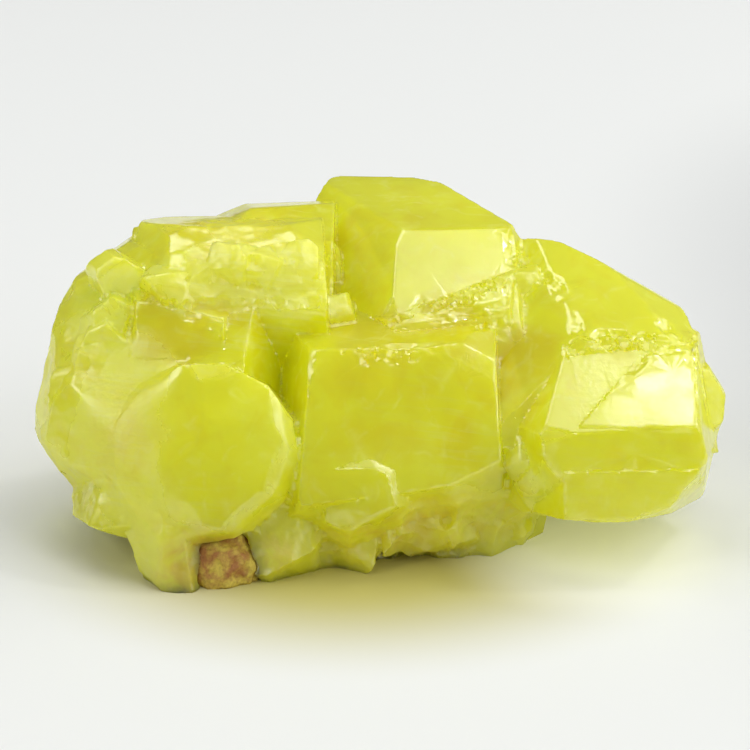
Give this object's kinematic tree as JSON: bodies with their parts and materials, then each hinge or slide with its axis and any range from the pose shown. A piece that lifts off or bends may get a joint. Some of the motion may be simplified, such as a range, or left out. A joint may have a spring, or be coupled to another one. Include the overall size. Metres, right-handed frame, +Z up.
{
  "type": "native sulfur crystal cluster",
  "caption": "Cluster of blocky translucent yellow sulfur crystals grown together, with stepped flat faces, chipped edges and a speck of brown host rock, resting on a broken base.",
  "frame": {"origin": "middle of the bounding box at the resting plane, under the cluster", "axes": "+Z up from the resting plane, +X to the right along the cluster's length, -Y towards the display side"},
  "size_m": [0.0598, 0.0366, 0.0266],
  "materials": {
    "sulfur": "translucent sulfur yellow with a resinous to glassy lustre, clear in places and milky in others",
    "host_rock": "dull reddish-brown rock stained yellow by the sulfur"
  },
  "bodies": {
    "root": {"sulfur_crystals": "sulfur", "matrix_fragment": "host_rock"}
  },
  "joints": []
}
